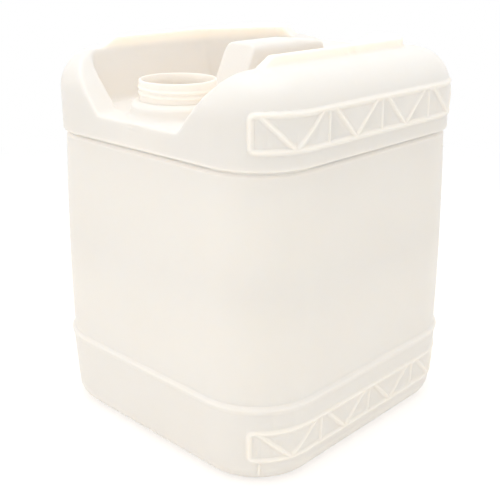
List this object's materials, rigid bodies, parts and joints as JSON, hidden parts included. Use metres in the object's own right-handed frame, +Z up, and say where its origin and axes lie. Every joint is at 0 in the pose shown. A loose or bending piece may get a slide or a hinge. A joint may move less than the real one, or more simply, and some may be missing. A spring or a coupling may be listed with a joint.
{
  "type": "tight head pail",
  "caption": "Square blow-moulded tight head pail with an open screw neck in a pouring well, a carrying handle across the well, a stacking rim and truss ribs on its bands",
  "frame": {"origin": "Middle of the base, on the plane the pail stands on", "axes": "Z up; the neck and the pouring notch face -Y; the long truss panels are on the +X face and the short ones on the -X face; metres"},
  "size_m": [0.2748, 0.2798, 0.33],
  "materials": {
    "hdpe": "natural white high-density polyethylene, blow moulded, satin"
  },
  "bodies": {
    "root": {"pail": "hdpe"}
  },
  "joints": []
}
